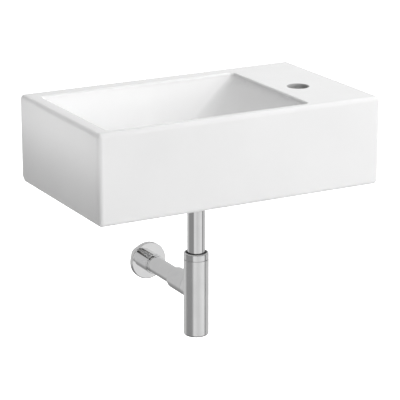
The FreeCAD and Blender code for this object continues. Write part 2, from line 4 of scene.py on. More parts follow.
import bpy
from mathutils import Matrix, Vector


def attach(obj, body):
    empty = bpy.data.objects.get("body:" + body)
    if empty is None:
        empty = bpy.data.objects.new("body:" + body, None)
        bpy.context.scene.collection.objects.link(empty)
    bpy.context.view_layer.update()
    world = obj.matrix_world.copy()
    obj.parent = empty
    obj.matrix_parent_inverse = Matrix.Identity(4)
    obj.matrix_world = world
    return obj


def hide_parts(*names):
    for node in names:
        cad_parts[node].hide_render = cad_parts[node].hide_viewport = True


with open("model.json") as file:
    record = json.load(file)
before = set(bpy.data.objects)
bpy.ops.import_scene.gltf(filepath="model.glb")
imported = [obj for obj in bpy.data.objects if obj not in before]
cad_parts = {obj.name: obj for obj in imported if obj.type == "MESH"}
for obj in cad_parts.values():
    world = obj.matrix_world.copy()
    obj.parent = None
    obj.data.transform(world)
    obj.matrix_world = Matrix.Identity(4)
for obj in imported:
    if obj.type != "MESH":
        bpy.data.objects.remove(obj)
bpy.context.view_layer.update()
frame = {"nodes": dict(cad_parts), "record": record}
print("frame loaded:", len(frame["nodes"]), "nodes")

# the camera is fitted to the photograph's edges; azimuth counts from straight in front of the wall
camera = {
    "at": (-1.5998, -3.0896, 0.9408),
    "azimuth": -28.59,
    "down": 16.89,
    "lens": 175.7,
    "film": 36,
    "shiftX": 0.005,
    "near": 0.1,
    "far": 60,
}


def makeCamera():
    data = bpy.data.cameras.new("camera")
    data.lens = camera["lens"]
    data.sensor_width = camera["film"]
    data.shift_x = camera["shiftX"]
    data.clip_start = camera["near"]
    data.clip_end = camera["far"]
    eye = bpy.data.objects.new("camera", data)
    eye.location = camera["at"]
    eye.rotation_euler = (math.radians(90 - camera["down"]), 0, math.radians(camera["azimuth"]))
    bpy.context.scene.collection.objects.link(eye)
    bpy.context.scene.camera = eye
    bpy.context.scene.view_settings.view_transform = "Standard"


makeCamera()
print("camera set")


def feed(tree, value, socket):
    # an output of another node is linked, anything else is set
    if isinstance(value, bpy.types.NodeSocket):
        tree.links.new(value, socket)
    elif socket.type == "RGBA":
        socket.default_value = (*value[:3], 1)
    else:
        socket.default_value = value


def put(tree, kind, values=None, **settings):
    node = tree.nodes.new(kind)
    for label, value in settings.items():
        setattr(node, label, value)
    for socket, value in (values or {}).items():
        feed(tree, value, node.inputs[socket])
    return node


def sums(tree, operation, *values):
    node = put(tree, "ShaderNodeMath", dict(enumerate(values)), operation=operation)
    return node.outputs[0]


def noise(tree, place, scale, detail):
    node = put(tree, "ShaderNodeTexNoise", {"Vector": place, "Scale": scale, "Detail": detail})
    return node.outputs["Fac"]


def ramp(tree, value, span, low=0.0, high=1.0):
    # low at the first end of the span, high at the second, straight between them
    ends = {"Value": value, "From Min": span[0], "From Max": span[1], "To Min": low, "To Max": high}
    return put(tree, "ShaderNodeMapRange", ends).outputs["Result"]


def band(tree, value, span):
    # 0 at the first end of the span, 1 at the second, soft between them
    ends = {"Value": value, "From Min": span[0], "From Max": span[1]}
    return put(tree, "ShaderNodeMapRange", ends, interpolation_type="SMOOTHSTEP").outputs["Result"]


def splitPlace(tree, place):
    return put(tree, "ShaderNodeSeparateXYZ", {"Vector": place}).outputs


def fromAxis(tree, place):
    # the distance from the Z axis
    flat = put(tree, "ShaderNodeVectorMath", {0: place, 1: (1.0, 1.0, 0.0)}, operation="MULTIPLY")
    far = put(tree, "ShaderNodeVectorMath", {0: flat.outputs["Vector"]}, operation="LENGTH")
    return far.outputs["Value"]


def blendColour(tree, share, first, second):
    mix = put(tree, "ShaderNodeMix", {0: share}, data_type="RGBA")
    feed(tree, first, mix.inputs[6])
    feed(tree, second, mix.inputs[7])
    return mix.outputs[2]


def blendValue(tree, share, first, second):
    return put(tree, "ShaderNodeMix", {0: share, 2: first, 3: second}).outputs[0]


# node groups that several finishes share, and what they keep the same in all of them
pattern = {
    "cloudSpan": (0.3, 0.7),
    "tintSpan": (0.35, 0.65),
    "tintDetail": 3.0,
    "speckFiner": 23.0,
    "speckDetail": 1.0,
    "speckSpan": (0.62, 0.72),
    "grainDetail": 2.0,
    "sinkDetail": 1.0,
    "sinkShare": 3.0,
    "driftScale": 900.0,
    "driftDetail": 2.0,
    "streak": (1.0, 1.0, 0.15),
    "streakDetail": 3.0,
    "roughDetail": 3.0,
    "dropScale": 90.0,
    "dropEdge": (0.16, 0.10),
    "dropChance": 0.72,
}


def newGroup(name, inputs, outputs):
    tree = bpy.data.node_groups.new(name, "ShaderNodeTree")
    kinds = {"v": "NodeSocketVector", "f": "NodeSocketFloat", "c": "NodeSocketColor"}
    for label, kind in inputs:
        tree.interface.new_socket(label, in_out="INPUT", socket_type=kinds[kind])
    for label, kind in outputs:
        tree.interface.new_socket(label, in_out="OUTPUT", socket_type=kinds[kind])
    return tree, tree.nodes.new("NodeGroupInput").outputs, tree.nodes.new("NodeGroupOutput").inputs


def makeCloudGroup():
    # soft patches, as a value between Low and High
    tree, given, result = newGroup(
        "cloud",
        (("Place", "v"), ("Scale", "f"), ("Detail", "f"), ("Low", "f"), ("High", "f")),
        (("Value", "f"),),
    )
    patches = noise(tree, given["Place"], given["Scale"], given["Detail"])
    value = ramp(tree, patches, pattern["cloudSpan"], given["Low"], given["High"])
    tree.links.new(value, result["Value"])
    return tree


def makeTintGroup():
    # two near tones that run into each other, with a fine speckle of the darker one
    tree, given, result = newGroup(
        "tint",
        (("Place", "v"), ("Scale", "f"), ("Light", "c"), ("Deep", "c"), ("Speckle", "f")),
        (("Colour", "c"),),
    )
    patches = noise(tree, given["Place"], given["Scale"], pattern["tintDetail"])
    wide = ramp(tree, patches, pattern["tintSpan"])
    fineScale = sums(tree, "MULTIPLY", given["Scale"], pattern["speckFiner"])
    dots = ramp(tree, noise(tree, given["Place"], fineScale, pattern["speckDetail"]), pattern["speckSpan"])
    specks = sums(tree, "MULTIPLY", dots, given["Speckle"])
    share = sums(tree, "MAXIMUM", sums(tree, "SUBTRACT", wide, specks), 0.0)
    tree.links.new(blendColour(tree, share, given["Deep"], given["Light"]), result["Colour"])
    return tree


def makeMouldedGroup():
    # the spark-eroded grain of a moulding tool, with shallow sink waves under it
    tree, given, result = newGroup(
        "moulded",
        (("Place", "v"), ("Grain", "f"), ("Sink", "f")),
        (("Height", "f"),),
    )
    grain = noise(tree, given["Place"], given["Grain"], pattern["grainDetail"])
    sink = noise(tree, given["Place"], given["Sink"], pattern["sinkDetail"])
    tree.links.new(sums(tree, "MULTIPLY_ADD", sink, pattern["sinkShare"], grain), result["Height"])
    return tree


def makeTurnedGroup():
    # rings left by a lathe, a pitch apart along the sides and across the ends
    tree, given, result = newGroup(
        "turned",
        (("Place", "v"), ("Pitch", "f"), ("Uneven", "f")),
        (("Height", "f"),),
    )
    way = sums(tree, "ADD", splitPlace(tree, given["Place"])["Z"], fromAxis(tree, given["Place"]))
    drift = noise(tree, given["Place"], pattern["driftScale"], pattern["driftDetail"])
    wander = sums(tree, "MULTIPLY", drift, given["Uneven"])
    turns = sums(tree, "ADD", sums(tree, "DIVIDE", way, given["Pitch"]), wander)
    ring = sums(tree, "SINE", sums(tree, "MULTIPLY", turns, 2 * math.pi))
    tree.links.new(ring, result["Height"])
    return tree


def makeThreadGroup():
    # a cut thread that climbs the Z axis of Place, only where the radius is past Inner
    tree, given, result = newGroup(
        "thread",
        (("Place", "v"), ("Pitch", "f"), ("Inner", "f"), ("From", "f"), ("To", "f")),
        (("Height", "f"),),
    )
    split = splitPlace(tree, given["Place"])
    angle = sums(tree, "ARCTAN2", split["Y"], split["X"])
    climb = sums(tree, "DIVIDE", split["Z"], given["Pitch"])
    turns = sums(tree, "ADD", climb, sums(tree, "DIVIDE", angle, 2 * math.pi))
    ridge = sums(tree, "PINGPONG", turns, 0.5)
    outside = sums(tree, "GREATER_THAN", fromAxis(tree, given["Place"]), given["Inner"])
    above = sums(tree, "GREATER_THAN", split["Z"], given["From"])
    below = sums(tree, "LESS_THAN", split["Z"], given["To"])
    threaded = sums(tree, "MULTIPLY", sums(tree, "MULTIPLY", above, below), outside)
    tree.links.new(sums(tree, "MULTIPLY", ridge, threaded), result["Height"])
    return tree


def makeSmearGroup():
    # streaks wiped along Z and a few dried drops, as a roughness between Low and High
    tree, given, result = newGroup(
        "smear",
        (("Place", "v"), ("Scale", "f"), ("Low", "f"), ("High", "f"), ("Drops", "f")),
        (("Roughness", "f"),),
    )
    long = put(tree, "ShaderNodeVectorMath", {0: given["Place"], 1: pattern["streak"]}, operation="MULTIPLY")
    streaks = noise(tree, long.outputs["Vector"], given["Scale"], pattern["streakDetail"])
    wiped = ramp(tree, streaks, pattern["cloudSpan"], given["Low"], given["High"])
    cells = put(tree, "ShaderNodeTexVoronoi", {"Vector": given["Place"], "Scale": pattern["dropScale"]})
    drop = ramp(tree, cells.outputs["Distance"], pattern["dropEdge"])
    odd = put(tree, "ShaderNodeSeparateColor", {"Color": cells.outputs["Color"]})
    some = sums(tree, "GREATER_THAN", odd.outputs[0], pattern["dropChance"])
    drops = sums(tree, "MULTIPLY", sums(tree, "MULTIPLY", drop, some), given["Drops"])
    tree.links.new(sums(tree, "ADD", wiped, drops), result["Roughness"])
    return tree


groups = {
    "cloud": makeCloudGroup(),
    "tint": makeTintGroup(),
    "moulded": makeMouldedGroup(),
    "turned": makeTurnedGroup(),
    "thread": makeThreadGroup(),
    "smear": makeSmearGroup(),
}
print("shared node groups made:", len(groups))


def newMaterial(name, metal=False):
    mat = bpy.data.materials.new(name)
    mat.use_nodes = True
    shader = mat.node_tree.nodes["Principled BSDF"]
    if metal:
        shader.inputs["Metallic"].default_value = 1
    return mat, mat.node_tree, shader


def useGroup(tree, name, place, **values):
    node = tree.nodes.new("ShaderNodeGroup")
    node.node_tree = groups[name]
    for socket, value in {"Place": place, **values}.items():
        feed(tree, value, node.inputs[socket])
    return node.outputs[0]


def tintOf(tree, place, values):
    return useGroup(
        tree,
        "tint",
        place,
        Scale=values["toneScale"],
        Light=values["light"],
        Deep=values["deep"],
        Speckle=values["speckle"],
    )


def patchyRough(tree, place, values):
    low, high = values["rough"]
    return useGroup(
        tree, "cloud", place, Scale=values["roughScale"], Detail=pattern["roughDetail"], Low=low, High=high
    )


def smearedRough(tree, place, values):
    low, high = values["rough"]
    return useGroup(
        tree, "smear", place, Scale=values["smearScale"], Low=low, High=high, Drops=values["drops"]
    )


def centred(tree, at=(0, 0, 0), turn=(0, 0, 0)):
    # object coordinates, with the zero and the axis moved onto a piece
    coord = tree.nodes.new("ShaderNodeTexCoord")
    mapping = put(
        tree,
        "ShaderNodeMapping",
        {"Vector": coord.outputs["Object"], "Location": at, "Rotation": turn},
        vector_type="TEXTURE",
    )
    return mapping.outputs["Vector"]


def raiseSurface(tree, shader, height, values):
    bump = put(
        tree, "ShaderNodeBump", {"Strength": values["bump"], "Distance": values["depth"], "Height": height}
    )
    tree.links.new(bump.outputs["Normal"], shader.inputs["Normal"])


# fired clay under a white glaze; the glaze is wiped off where the basin meets the wall and on its foot
glaze = {
    "white": {
        "light": (0.93, 0.93, 0.93), "deep": (0.915, 0.915, 0.915), "toneScale": 9.0, "speckle": 0.0,
        "rough": (0.10, 0.16), "roughScale": 38.0,
    },
    "wave": {"Scale": 55.0, "Detail": 1.0, "Low": 0.0, "High": 1.0},
    "bump": 0.05,
    "depth": 0.0004,
    "under": (-0.4, -0.9),
    "underRough": 0.30,
    "clay": {
        "light": (0.70, 0.67, 0.62), "deep": (0.645, 0.615, 0.565), "toneScale": 60.0, "speckle": 0.8,
    },
    "clayRough": 0.85,
    "clayGrain": {"Grain": 1500.0, "Sink": 40.0},
    "ragged": {"Scale": 160.0, "Detail": 2.0, "Low": -0.0005, "High": 0.0005},
    "wallLine": (-0.0012, -0.0004),
    "footLine": (-0.0388, -0.0396),
    # the tap hole's bore and rolled lip are painted a dull grey: painted shade for the shadow down the hole
    "holeAt": (0.1875, -0.1845, 0.0),
    "holeShadeEdge": (0.0212, 0.0196),
    "holeShadeTone": (0.36, 0.36, 0.36),
}


def makeGlaze():
    mat, tree, shader = newMaterial("glaze")
    place = centred(tree)
    split = splitPlace(tree, place)
    ragged = useGroup(tree, "cloud", place, **glaze["ragged"])
    wall = band(tree, sums(tree, "ADD", split["Y"], ragged), glaze["wallLine"])
    foot = band(tree, sums(tree, "ADD", split["Z"], ragged), glaze["footLine"])
    bare = sums(tree, "MAXIMUM", wall, foot)
    # painted shade: a mask round the tap hole's axis darkens its bore and rolled lip
    bore = band(tree, fromAxis(tree, centred(tree, glaze["holeAt"])), glaze["holeShadeEdge"])
    colour = blendColour(tree, bore, tintOf(tree, place, glaze["white"]), glaze["holeShadeTone"])
    colour = blendColour(tree, bare, colour, tintOf(tree, place, glaze["clay"]))
    tree.links.new(colour, shader.inputs["Base Color"])
    coord = tree.nodes.new("ShaderNodeTexCoord")
    facing = splitPlace(tree, coord.outputs["Normal"])
    under = band(tree, facing["Z"], glaze["under"])
    rough = blendValue(tree, under, patchyRough(tree, place, glaze["white"]), glaze["underRough"])
    rough = blendValue(tree, bare, rough, glaze["clayRough"])
    tree.links.new(rough, shader.inputs["Roughness"])
    wave = useGroup(tree, "cloud", place, **glaze["wave"])
    grit = useGroup(tree, "moulded", place, **glaze["clayGrain"])
    raiseSurface(tree, shader, blendValue(tree, bare, wave, grit), glaze)
    return mat


# chromed brass; the bottle is a softer plating than the tubes
plating = {"light": (0.80, 0.80, 0.80), "deep": (0.775, 0.775, 0.78), "drops": 0.03}
chrome = {
    "tube": {**plating, "rough": (0.03, 0.06), "bump": 0.04},
    "nut": {**plating, "rough": (0.07, 0.10), "bump": 0.15},
    "bottle": {
        "light": (0.90, 0.90, 0.90), "deep": (0.87, 0.87, 0.87), "drops": 0.02, "rough": (0.21, 0.27),
        "bump": 0.25,
    },
    "same": {"toneScale": 45.0, "speckle": 0.1, "smearScale": 60.0, "depth": 0.000003},
    "trapAt": (-0.025, -0.193, 0.0),
    "armAt": (-0.025, 0.0, -0.228),
    "rings": {"Pitch": 0.0009, "Uneven": 0.6},
    "thread": {"Pitch": 0.0023, "Inner": 0.0208, "From": -0.0475, "To": -0.0015},
    "threadRise": 600.0,
    # a black ring painted on the collar nut's top round the tube: part seal lip, part painted shade of the
    # gap
    "lip": {"top": (-0.1572, -0.1568), "outer": (0.0200, 0.0190), "tone": (0.03, 0.03, 0.03), "rough": 0.6},
}


def makeChrome(name, kind, alongWall=False, threaded=False, lipped=False):
    mat, tree, shader = newMaterial(name, metal=True)
    values = {**chrome["same"], **chrome[kind]}
    if alongWall:
        place = centred(tree, chrome["armAt"], (math.radians(90), 0, 0))
    else:
        place = centred(tree, chrome["trapAt"])
    tone = tintOf(tree, place, values)
    rough = smearedRough(tree, place, values)
    # partly painted shade: a black matt ring on the collar's top, for the seal's lip and the shadowed gap
    # round the tube
    if lipped:
        lip = chrome["lip"]
        onTop = band(tree, splitPlace(tree, place)["Z"], lip["top"])
        sealShadeMask = sums(tree, "MULTIPLY", onTop, band(tree, fromAxis(tree, place), lip["outer"]))
        tone = blendColour(tree, sealShadeMask, tone, lip["tone"])
        rough = blendValue(tree, sealShadeMask, rough, lip["rough"])
        tree.links.new(sums(tree, "SUBTRACT", 1.0, sealShadeMask), shader.inputs["Metallic"])
    tree.links.new(tone, shader.inputs["Base Color"])
    tree.links.new(rough, shader.inputs["Roughness"])
    height = useGroup(tree, "turned", place, **chrome["rings"])
    if threaded:
        cut = useGroup(tree, "thread", place, **chrome["thread"])
        height = sums(tree, "MULTIPLY_ADD", cut, chrome["threadRise"], height)
    raiseSurface(tree, shader, height, values)
    return mat


# plated steel of bolts, nuts and washers: a grey with crystals in it
zinc = {
    "light": (0.66, 0.66, 0.64),
    "deep": (0.52, 0.53, 0.53),
    "toneScale": 140.0,
    "speckle": 0.4,
    "rough": (0.26, 0.42),
    "roughScale": 300.0,
    "crystal": 380.0,
    "crystalShare": 0.35,
    "bump": 0.2,
    "depth": 0.00002,
}


def makeZinc():
    mat, tree, shader = newMaterial("zinc_steel", metal=True)
    place = centred(tree)
    cells = put(tree, "ShaderNodeTexVoronoi", {"Vector": place, "Scale": zinc["crystal"]})
    shade = put(tree, "ShaderNodeSeparateColor", {"Color": cells.outputs["Color"]}).outputs
    share = sums(tree, "MULTIPLY", shade[0], zinc["crystalShare"])
    colour = blendColour(tree, share, tintOf(tree, place, zinc), zinc["deep"])
    tree.links.new(colour, shader.inputs["Base Color"])
    tree.links.new(patchyRough(tree, place, zinc), shader.inputs["Roughness"])
    raiseSurface(tree, shader, shade[1], zinc)
    return mat


# yellow brass off the lathe, with a brown bloom in patches
brass = {
    "light": (0.76, 0.60, 0.32),
    "deep": (0.60, 0.43, 0.20),
    "toneScale": 90.0,
    "speckle": 0.3,
    "rough": (0.20, 0.38),
    "roughScale": 120.0,
    "rings": {"Pitch": 0.0005, "Uneven": 0.8},
    "bump": 0.3,
    "depth": 0.00001,
}


def makeBrass():
    mat, tree, shader = newMaterial("brass", metal=True)
    place = centred(tree, chrome["trapAt"])
    tree.links.new(tintOf(tree, place, brass), shader.inputs["Base Color"])
    tree.links.new(patchyRough(tree, place, brass), shader.inputs["Roughness"])
    raiseSurface(tree, shader, useGroup(tree, "turned", place, **brass["rings"]), brass)
    return mat


# drawn wire: fine streaks and a faint blue from heat
springWire = {
    "light": (0.60, 0.61, 0.63),
    "deep": (0.40, 0.41, 0.45),
    "toneScale": 260.0,
    "speckle": 0.3,
    "rough": (0.20, 0.34),
    "smearScale": 900.0,
    "drops": 0.0,
    "bump": 0.2,
    "depth": 0.00002,
}


def makeSpringSteel():
    mat, tree, shader = newMaterial("spring_steel", metal=True)
    place = centred(tree, chrome["trapAt"])
    tree.links.new(tintOf(tree, place, springWire), shader.inputs["Base Color"])
    streaks = smearedRough(tree, place, springWire)
    tree.links.new(streaks, shader.inputs["Roughness"])
    raiseSurface(tree, shader, streaks, springWire)
    return mat


# mouldings: the colour pair, the scales of its patches, specks, roughness, and the tool's grain
mouldings = {
    "nylon": {
        "light": (0.74, 0.74, 0.70), "deep": (0.64, 0.64, 0.60), "toneScale": 70.0, "speckle": 0.2,
        "rough": (0.42, 0.56), "roughScale": 140.0, "grain": 1100.0, "depth": 0.00003,
    },
    "white_plastic": {
        "light": (0.86, 0.86, 0.85), "deep": (0.80, 0.80, 0.79), "toneScale": 60.0, "speckle": 0.1,
        "rough": (0.32, 0.44), "roughScale": 120.0, "grain": 1500.0, "depth": 0.00002,
    },
    "black_plastic": {
        "light": (0.034, 0.034, 0.036), "deep": (0.022, 0.022, 0.024), "toneScale": 80.0, "speckle": 0.3,
        "rough": (0.32, 0.46), "roughScale": 160.0, "grain": 1600.0, "depth": 0.00002,
    },
    "black_rubber": {
        "light": (0.032, 0.032, 0.031), "deep": (0.018, 0.018, 0.018), "toneScale": 110.0, "speckle": 0.5,
        "rough": (0.60, 0.82), "roughScale": 220.0, "grain": 900.0, "depth": 0.00004,
    },
    "grey_rubber": {
        "light": (0.15, 0.15, 0.15), "deep": (0.10, 0.10, 0.10), "toneScale": 110.0, "speckle": 0.5,
        "rough": (0.58, 0.80), "roughScale": 220.0, "grain": 900.0, "depth": 0.00004,
    },
}
mouldedSame = {"sink": 60.0, "bump": 0.4}


def makeMoulding(name):
    values = {**mouldedSame, **mouldings[name]}
    mat, tree, shader = newMaterial(name)
    place = centred(tree)
    tree.links.new(tintOf(tree, place, values), shader.inputs["Base Color"])
    tree.links.new(patchyRough(tree, place, values), shader.inputs["Roughness"])
    height = useGroup(tree, "moulded", place, Grain=values["grain"], Sink=values["sink"])
    raiseSurface(tree, shader, height, values)
    return mat


materials = {name: makeMoulding(name) for name in mouldings}
materials["ceramic"] = makeGlaze()
materials["zinc_steel"] = makeZinc()
materials["brass"] = makeBrass()
materials["spring_steel"] = makeSpringSteel()
materials["chrome"] = makeChrome("chrome", "tube")
chromeOf = {
    "waste_body": makeChrome("chromeWaste", "nut", threaded=True),
    "inlet_nut": makeChrome("chromeNut", "nut"),
    # the collar nut gets a black ring on its top, partly painted shade of the gap round the tube
    "collar_nut": makeChrome("chromeCollar", "nut", lipped=True),
    "trap_bottle": makeChrome("chromeBottle", "bottle"),
    "cleaning_cap": makeChrome("chromeCap", "nut"),
    "outlet_nut": makeChrome("chromeOutlet", "nut", alongWall=True),
    "wall_arm": makeChrome("chromeArm", "tube", alongWall=True),
    "rosette": makeChrome("chromeRosette", "tube", alongWall=True),
}

for part in frame["record"]["subparts"]:
    node = frame["nodes"][part["node"]]
    node.data.materials.clear()
    node.data.materials.append(chromeOf.get(part["node"], materials[part["material_slot"]]))
print("finishes on the solids:", len(materials) + len(chromeOf))

# drawing and turning: the first vertex's plane, what counts as one vertex, and where shading turns sharp
drawing = {"seed": 0.0001, "merge": 1e-6, "cut": 1e-7, "sharp": 35}


def drawLine(points, closed):
    # an outline in the XZ plane, drawn vertex by vertex from a merged plane
    bpy.ops.object.select_all(action="DESELECT")
    bpy.ops.mesh.primitive_plane_add(size=drawing["seed"], location=(0, 0, 0))
    line = bpy.context.object
    bpy.ops.object.mode_set(mode="EDIT")
    bpy.ops.mesh.select_mode(type="VERT")
    bpy.ops.mesh.select_all(action="SELECT")
    bpy.ops.mesh.merge(type="CENTER")
    bpy.ops.transform.translate(value=(points[0][0], 0, points[0][1]))
    for before, point in zip(points, points[1:]):
        step = (point[0] - before[0], 0, point[1] - before[1])
        bpy.ops.mesh.extrude_vertices_move(TRANSFORM_OT_translate={"value": step})
    if closed:
        bpy.ops.object.mode_set(mode="OBJECT")
        for vertex in line.data.vertices:
            near = [math.dist((vertex.co.x, vertex.co.z), point) for point in (points[0], points[-1])]
            vertex.select = min(near) < drawing["merge"]
        bpy.ops.object.mode_set(mode="EDIT")
        bpy.ops.mesh.edge_face_add()
    bpy.ops.object.mode_set(mode="OBJECT")
    return line


def turnLine(line, steps, pitch=0.0, turns=1):
    # the outline turned round the Z axis, climbing by the pitch where there is one
    screw = line.modifiers.new("turn", "SCREW")
    screw.axis = "Z"
    screw.angle = 2 * math.pi
    screw.screw_offset = pitch
    screw.iterations = turns
    screw.steps = steps
    screw.render_steps = steps
    bpy.context.view_layer.objects.active = line
    bpy.ops.object.modifier_apply(modifier="turn")
    bpy.ops.object.mode_set(mode="EDIT")
    bpy.ops.mesh.select_all(action="SELECT")
    bpy.ops.mesh.remove_doubles(threshold=drawing["merge"])
    bpy.ops.mesh.normals_make_consistent(inside=False)
    bpy.ops.object.mode_set(mode="OBJECT")


def trimEnds(piece, low, high):
    bpy.ops.object.mode_set(mode="EDIT")
    for level, inner in ((low, True), (high, False)):
        bpy.ops.mesh.select_all(action="SELECT")
        bpy.ops.mesh.bisect(
            plane_co=(0, 0, level),
            plane_no=(0, 0, 1),
            use_fill=True,
            clear_inner=inner,
            clear_outer=not inner,
            threshold=drawing["cut"],
        )
    bpy.ops.mesh.select_all(action="SELECT")
    bpy.ops.mesh.normals_make_consistent(inside=False)
    bpy.ops.object.mode_set(mode="OBJECT")


def makeThread(crest, root, pitch, flat, low, high, steps):
    # one pitch of the thread, turned from under the low end to past the high end, then cut square
    start = low - 1.5 * pitch
    turns = math.ceil((high - low) / pitch) + 3
    ramped = start + pitch / 2
    points = (
        (root, start),
        (root, start + flat),
        (crest, ramped),
        (crest, ramped + flat),
        (root, start + pitch),
    )
    thread = drawLine(points, False)
    turnLine(thread, steps, pitch, turns)
    trimEnds(thread, low, high)
    return thread


def intoWall(piece, at):
    # built along Z, laid along Y into the wall, and its place kept in its mesh
    bpy.ops.object.select_all(action="DESELECT")
    piece.select_set(True)
    bpy.context.view_layer.objects.active = piece
    piece.rotation_euler = (math.radians(-90), 0, 0)
    piece.location = at
    bpy.ops.object.transform_apply(location=True, rotation=True, scale=True)
    bpy.ops.object.shade_smooth_by_angle(angle=math.radians(drawing["sharp"]))


def dress(piece, name, material, node, body):
    piece.name = name
    piece.data.name = name
    piece.data.materials.clear()
    piece.data.materials.append(material)
    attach(piece, body)
    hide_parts(node)


# bolts and plugs come in pairs, this far to each side of the basin's middle
fixings = {"left": -0.140, "right": 0.140}


def setPair(first, name, start, node, slot):
    second = first.copy()
    second.data = first.data.copy()
    bpy.context.scene.collection.objects.link(second)
    for piece, side in ((first, "left"), (second, "right")):
        intoWall(piece, (fixings[side], start, 0))
        dress(piece, name + side, materials[slot], node, "basin")


def narrow(vertex, share):
    vertex.co.x *= share
    vertex.co.y *= share


# hanger bolt: machine thread to the room, a plain collar, wood screw into the wall
bolt = {
    "roomEnd": -0.034,
    "machine": {"crest": 0.005, "root": 0.00415, "pitch": 0.0015, "flat": 0.00018, "steps": 28},
    "machineLong": 0.036,
    "collarEnd": 0.0415,
    "collarRadius": 0.0048,
    "collarSides": 40,
    "collarEdge": 0.0003,
    "overlap": 0.0004,
    "wood": {"crest": 0.0046, "root": 0.0031, "pitch": 0.0042, "flat": 0.0003, "steps": 28},
    "woodOverlap": 0.001,
    "tipFrom": 0.084,
    "end": 0.092,
    "pointShare": 0.22,
    "chamfer": 0.0007,
    "chamferShare": 0.86,
}


def makeBolt():
    room = makeThread(**bolt["machine"], low=0.0, high=bolt["machineLong"])
    for vertex in room.data.vertices:
        if vertex.co.z < bolt["chamfer"]:
            narrow(vertex, bolt["chamferShare"] + (1 - bolt["chamferShare"]) * vertex.co.z / bolt["chamfer"])
    wood = makeThread(**bolt["wood"], low=bolt["collarEnd"] - bolt["woodOverlap"], high=bolt["end"])
    for vertex in wood.data.vertices:
        along = (vertex.co.z - bolt["tipFrom"]) / (bolt["end"] - bolt["tipFrom"])
        if along > 0:
            narrow(vertex, 1 - (1 - bolt["pointShare"]) * along)
    bpy.ops.object.select_all(action="DESELECT")
    bpy.ops.mesh.primitive_cylinder_add(
        vertices=bolt["collarSides"],
        radius=bolt["collarRadius"],
        depth=bolt["collarEnd"] - bolt["machineLong"] + bolt["overlap"],
        location=(0, 0, (bolt["machineLong"] + bolt["collarEnd"]) / 2),
    )
    collar = bpy.context.object
    bpy.ops.object.mode_set(mode="EDIT")
    bpy.ops.mesh.select_all(action="SELECT")
    bpy.ops.mesh.bevel(offset=bolt["collarEdge"], segments=2)
    bpy.ops.object.mode_set(mode="OBJECT")
    bpy.ops.object.select_all(action="DESELECT")
    for piece in (room, wood, collar):
        piece.select_set(True)
    bpy.context.view_layer.objects.active = room
    bpy.ops.object.join()
    return room


setPair(makeBolt(), "hanger_bolt_", bolt["roomEnd"], "hanger_bolts", "zinc_steel")
print("hanger bolts threaded")

# wall plug: a flush mouth, barbs that open towards the mouth, and crossed slits at the far end
plug = {
    "radius": 0.007,
    "bore": 0.0052,
    "long": 0.065,
    "mouth": 0.0016,
    "mouthEdge": 0.0002,
    "barb": 0.0053,
    "barbFoot": 0.0061,
    "barbRise": 0.0006,
    "barbLand": 0.0008,
    "barbs": 11,
    "tailRise": 0.0004,
    "endRadius": 0.0058,
    "slit": 0.002,
    "slitLong": 0.030,
    "bladeWide": 0.02,
    "bladePast": 0.0005,
    "steps": 48,
}


def cutSlit(body, across):
    bpy.ops.object.select_all(action="DESELECT")
    bpy.ops.mesh.primitive_cube_add(
        size=1,
        location=(0, 0, plug["long"] - plug["slitLong"] / 2 + plug["bladePast"]),
        scale=(*across, plug["slitLong"] + 2 * plug["bladePast"]),
    )
    blade = bpy.context.object
    cut = body.modifiers.new("slit", "BOOLEAN")
    cut.operation = "DIFFERENCE"
    cut.solver = "EXACT"
    cut.object = blade
    bpy.context.view_layer.objects.active = body
    bpy.ops.object.modifier_apply(modifier="slit")
    bpy.data.objects.remove(blade)


def makePlug():
    points = [
        (plug["bore"], 0),
        (plug["radius"] - plug["mouthEdge"], 0),
        (plug["radius"], plug["mouthEdge"]),
        (plug["radius"], plug["mouth"]),
    ]
    at = plug["mouth"]
    for count in range(plug["barbs"]):
        points.append((plug["barbFoot"], at + plug["barbRise"]))
        points.append((plug["radius"], at + plug["barb"] - plug["barbLand"]))
        points.append((plug["radius"], at + plug["barb"]))
        at += plug["barb"]
    points.append((plug["barbFoot"], at + plug["tailRise"]))
    points.append((plug["endRadius"], plug["long"]))
    points.append((plug["bore"], plug["long"]))
    body = drawLine(points, True)
    turnLine(body, plug["steps"])
    for across in ((plug["bladeWide"], plug["slit"]), (plug["slit"], plug["bladeWide"])):
        cutSlit(body, across)
    return body


setPair(makePlug(), "wall_plug_", 0, "wall_plugs", "nylon")
print("wall plugs ribbed and slit")

# the floor is seen as white and still takes the shadow; metal looks through it to the room
floor = {"level": -0.73, "half": 40.0, "tone": 0.9, "lift": 0.9}


def mixShaders(tree, share, first, second):
    mix = put(tree, "ShaderNodeMixShader", {"Fac": share})
    tree.links.new(first.outputs[0], mix.inputs[1])
    tree.links.new(second.outputs[0], mix.inputs[2])
    return mix


def makeFloor():
    bpy.ops.object.select_all(action="DESELECT")
    bpy.ops.mesh.primitive_plane_add(size=2 * floor["half"], location=(0, 0, floor["level"]))
    plane = bpy.context.object
    plane.name = "floor"
    mat = bpy.data.materials.new("floor")
    mat.use_nodes = True
    tree = mat.node_tree
    tree.nodes.clear()
    out = tree.nodes.new("ShaderNodeOutputMaterial")
    path = tree.nodes.new("ShaderNodeLightPath").outputs
    matt = put(tree, "ShaderNodeBsdfDiffuse", {"Color": (floor["tone"],) * 3})
    lift = sums(tree, "MULTIPLY", path["Is Camera Ray"], floor["lift"])
    glow = put(tree, "ShaderNodeEmission", {"Strength": lift})
    both = put(tree, "ShaderNodeAddShader", {0: matt.outputs[0], 1: glow.outputs[0]})
    clear = tree.nodes.new("ShaderNodeBsdfTransparent")
    side = tree.nodes.new("ShaderNodeNewGeometry")
    gone = sums(tree, "MAXIMUM", side.outputs["Backfacing"], path["Is Glossy Ray"])
    tree.links.new(mixShaders(tree, gone, both, clear).outputs[0], out.inputs["Surface"])
    plane.data.materials.append(mat)


makeFloor()
print("floor laid")

